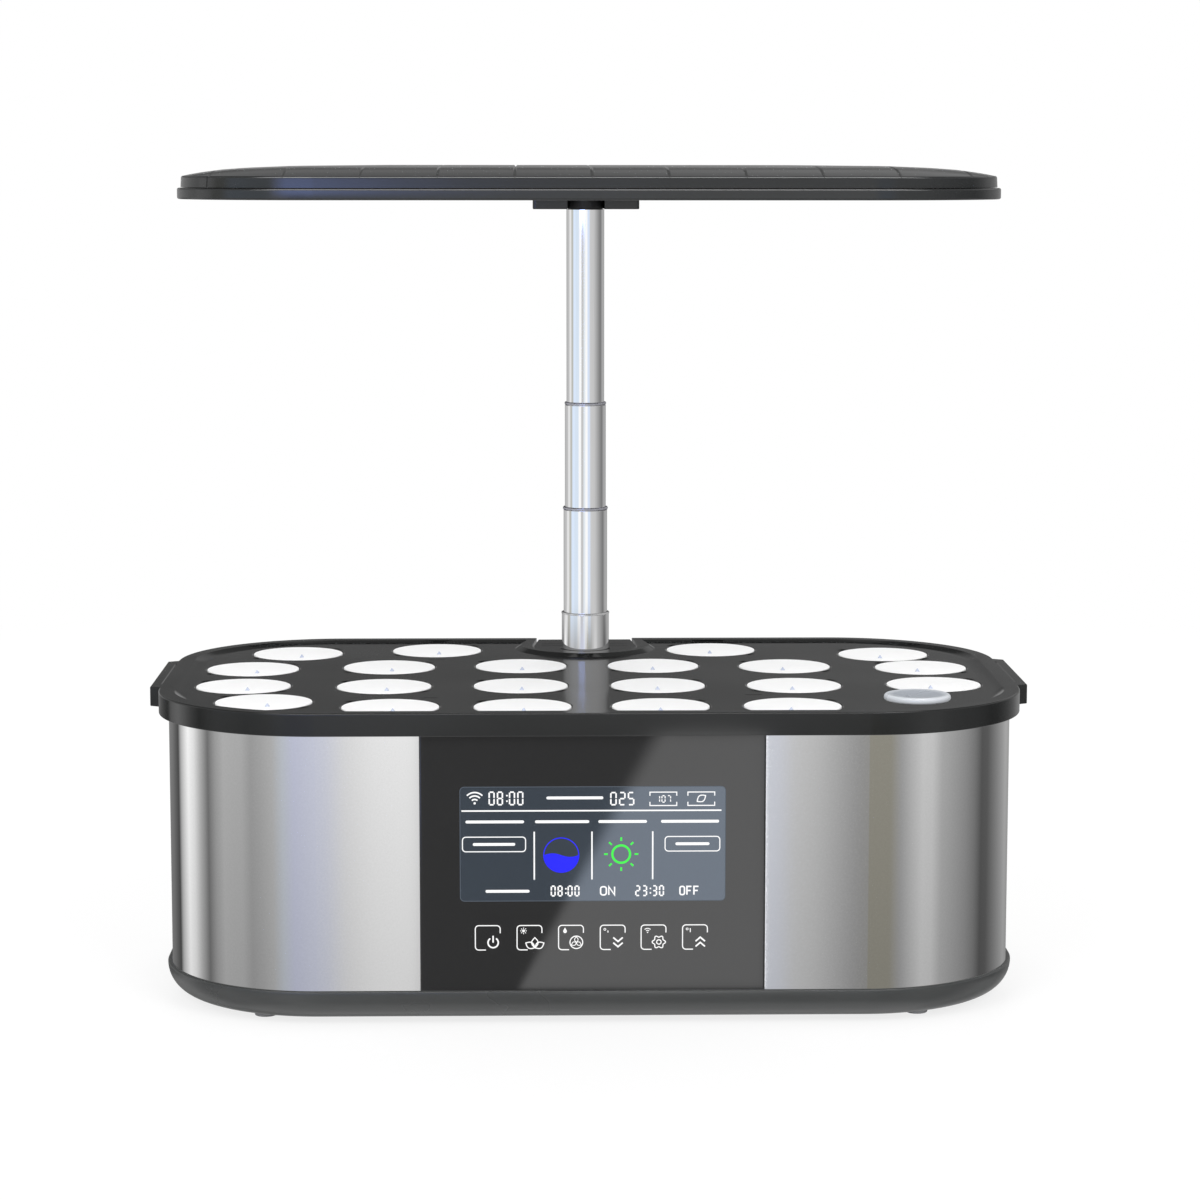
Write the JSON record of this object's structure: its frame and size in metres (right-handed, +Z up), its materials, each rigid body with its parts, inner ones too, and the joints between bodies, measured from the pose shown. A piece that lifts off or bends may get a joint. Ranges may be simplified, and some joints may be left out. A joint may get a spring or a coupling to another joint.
{
  "type": "countertop hydroponic garden",
  "caption": "Steel-banded water tank under a planting deck of lift-out pods, with a gloss front display and a wide grow lamp on a telescopic mast.",
  "frame": {"origin": "on the surface that the feet stand on, under the centre of the body", "axes": "+Z up, +X to the right seen from the front, -Y towards the front panel"},
  "size_m": [0.4446, 0.2596, 0.417],
  "materials": {
    "deck_plastic": "semi-gloss fine moulded black",
    "lamp_plastic": "satin moulded charcoal",
    "tray_plastic": "satin moulded grey",
    "tank_plastic": "smooth moulded dark grey",
    "inner_black_plastic": "matte moulded black",
    "band_steel": "brushed stainless, vertical soft streaks",
    "mast_steel": "polished stainless",
    "gloss_panel": "gloss black",
    "screen": "back-lit display",
    "circuit_board": "solder mask",
    "pod_white": "smooth white",
    "frosted_cap": "frosted translucent grey",
    "foot_rubber": "matte grey rubber",
    "bush_plastic": "natural moulded",
    "clear_plastic": "clear",
    "lamp_board": "white solder mask"
  },
  "bodies": {
    "root": {"base_tray": "tray_plastic", "front_left_foot": "foot_rubber", "front_right_foot": "foot_rubber", "rear_left_foot": "foot_rubber", "rear_right_foot": "foot_rubber", "control_board": "circuit_board", "power_inlet": "inner_black_plastic", "steel_band": "band_steel", "front_panel": "gloss_panel", "display_module": "screen", "touch_board": "circuit_board", "water_tank": "tank_plastic", "pole_socket": "deck_plastic", "pole_tube_base": "mast_steel", "pump_housing": "inner_black_plastic", "pump_cover": "inner_black_plastic", "pump_outlet": "clear_plastic", "float_stem": "bush_plastic"},
    "deck": {"planting_deck": "deck_plastic"},
    "port_cap": {"water_port_cap": "frosted_cap"},
    "pod_01": {"pod_01": "pod_white"},
    "pod_02": {"pod_02": "pod_white"},
    "pod_03": {"pod_03": "pod_white"},
    "pod_04": {"pod_04": "pod_white"},
    "pod_05": {"pod_05": "pod_white"},
    "pod_06": {"pod_06": "pod_white"},
    "pod_07": {"pod_07": "pod_white"},
    "pod_08": {"pod_08": "pod_white"},
    "pod_09": {"pod_09": "pod_white"},
    "pod_10": {"pod_10": "pod_white"},
    "pod_11": {"pod_11": "pod_white"},
    "pod_12": {"pod_12": "pod_white"},
    "pod_13": {"pod_13": "pod_white"},
    "pod_14": {"pod_14": "pod_white"},
    "pod_15": {"pod_15": "pod_white"},
    "pod_16": {"pod_16": "pod_white"},
    "pod_17": {"pod_17": "pod_white"},
    "pod_18": {"pod_18": "pod_white"},
    "pod_19": {"pod_19": "pod_white"},
    "pod_20": {"pod_20": "pod_white"},
    "pod_21": {"pod_21": "pod_white"},
    "mast_lower": {"pole_tube_lower": "mast_steel", "lower_slide_bush": "bush_plastic", "lower_tube_ring": "mast_steel"},
    "mast_middle": {"pole_tube_middle": "mast_steel", "middle_slide_bush": "bush_plastic", "middle_tube_ring": "mast_steel"},
    "lamp": {"pole_tube_upper": "mast_steel", "upper_slide_bush": "bush_plastic", "pole_head": "lamp_plastic", "lamp_bracket": "lamp_plastic", "left_bracket_screw": "mast_steel", "right_bracket_screw": "mast_steel", "lamp_frame": "lamp_plastic", "lamp_window": "clear_plastic", "led_board": "lamp_board", "lamp_shell": "lamp_plastic"},
    "pump_rotor": {"pump_impeller": "bush_plastic"},
    "float": {"level_float": "pod_white"}
  },
  "joints": [
    {"name": "deck_lift", "type": "slide", "parent": "root", "child": "deck", "axis": [0, 0, 1], "range_m": [0, 0.07]},
    {"name": "port_cap_lift", "type": "slide", "parent": "deck", "child": "port_cap", "axis": [0, 0, 1], "range_m": [0, 0.03]},
    {"name": "pod_01_lift", "type": "slide", "parent": "deck", "child": "pod_01", "axis": [0, 0, 1], "range_m": [0, 0.06]},
    {"name": "pod_02_lift", "type": "slide", "parent": "deck", "child": "pod_02", "axis": [0, 0, 1], "range_m": [0, 0.06]},
    {"name": "pod_03_lift", "type": "slide", "parent": "deck", "child": "pod_03", "axis": [0, 0, 1], "range_m": [0, 0.06]},
    {"name": "pod_04_lift", "type": "slide", "parent": "deck", "child": "pod_04", "axis": [0, 0, 1], "range_m": [0, 0.06]},
    {"name": "pod_05_lift", "type": "slide", "parent": "deck", "child": "pod_05", "axis": [0, 0, 1], "range_m": [0, 0.06]},
    {"name": "pod_06_lift", "type": "slide", "parent": "deck", "child": "pod_06", "axis": [0, 0, 1], "range_m": [0, 0.06]},
    {"name": "pod_07_lift", "type": "slide", "parent": "deck", "child": "pod_07", "axis": [0, 0, 1], "range_m": [0, 0.06]},
    {"name": "pod_08_lift", "type": "slide", "parent": "deck", "child": "pod_08", "axis": [0, 0, 1], "range_m": [0, 0.06]},
    {"name": "pod_09_lift", "type": "slide", "parent": "deck", "child": "pod_09", "axis": [0, 0, 1], "range_m": [0, 0.06]},
    {"name": "pod_10_lift", "type": "slide", "parent": "deck", "child": "pod_10", "axis": [0, 0, 1], "range_m": [0, 0.06]},
    {"name": "pod_11_lift", "type": "slide", "parent": "deck", "child": "pod_11", "axis": [0, 0, 1], "range_m": [0, 0.06]},
    {"name": "pod_12_lift", "type": "slide", "parent": "deck", "child": "pod_12", "axis": [0, 0, 1], "range_m": [0, 0.06]},
    {"name": "pod_13_lift", "type": "slide", "parent": "deck", "child": "pod_13", "axis": [0, 0, 1], "range_m": [0, 0.06]},
    {"name": "pod_14_lift", "type": "slide", "parent": "deck", "child": "pod_14", "axis": [0, 0, 1], "range_m": [0, 0.06]},
    {"name": "pod_15_lift", "type": "slide", "parent": "deck", "child": "pod_15", "axis": [0, 0, 1], "range_m": [0, 0.06]},
    {"name": "pod_16_lift", "type": "slide", "parent": "deck", "child": "pod_16", "axis": [0, 0, 1], "range_m": [0, 0.06]},
    {"name": "pod_17_lift", "type": "slide", "parent": "deck", "child": "pod_17", "axis": [0, 0, 1], "range_m": [0, 0.06]},
    {"name": "pod_18_lift", "type": "slide", "parent": "deck", "child": "pod_18", "axis": [0, 0, 1], "range_m": [0, 0.06]},
    {"name": "pod_19_lift", "type": "slide", "parent": "deck", "child": "pod_19", "axis": [0, 0, 1], "range_m": [0, 0.06]},
    {"name": "pod_20_lift", "type": "slide", "parent": "deck", "child": "pod_20", "axis": [0, 0, 1], "range_m": [0, 0.06]},
    {"name": "pod_21_lift", "type": "slide", "parent": "deck", "child": "pod_21", "axis": [0, 0, 1], "range_m": [0, 0.06]},
    {"name": "mast_lower_slide", "type": "slide", "parent": "root", "child": "mast_lower", "axis": [0, 0, 1], "range_m": [-0.052, 0.06]},
    {"name": "mast_middle_slide", "type": "slide", "parent": "mast_lower", "child": "mast_middle", "axis": [0, 0, 1], "range_m": [-0.053, 0.06]},
    {"name": "mast_upper_slide", "type": "slide", "parent": "mast_middle", "child": "lamp", "axis": [0, 0, 1], "range_m": [-0.096, 0.02]},
    {"name": "pump_impeller_spin", "type": "hinge", "parent": "root", "child": "pump_rotor", "pos_m": [-0.14005, 0, 0.038], "axis": [0, 1, 0], "continuous": true},
    {"name": "level_float_slide", "type": "slide", "parent": "root", "child": "float", "axis": [0, 0, 1], "range_m": [0, 0.07]}
  ]
}
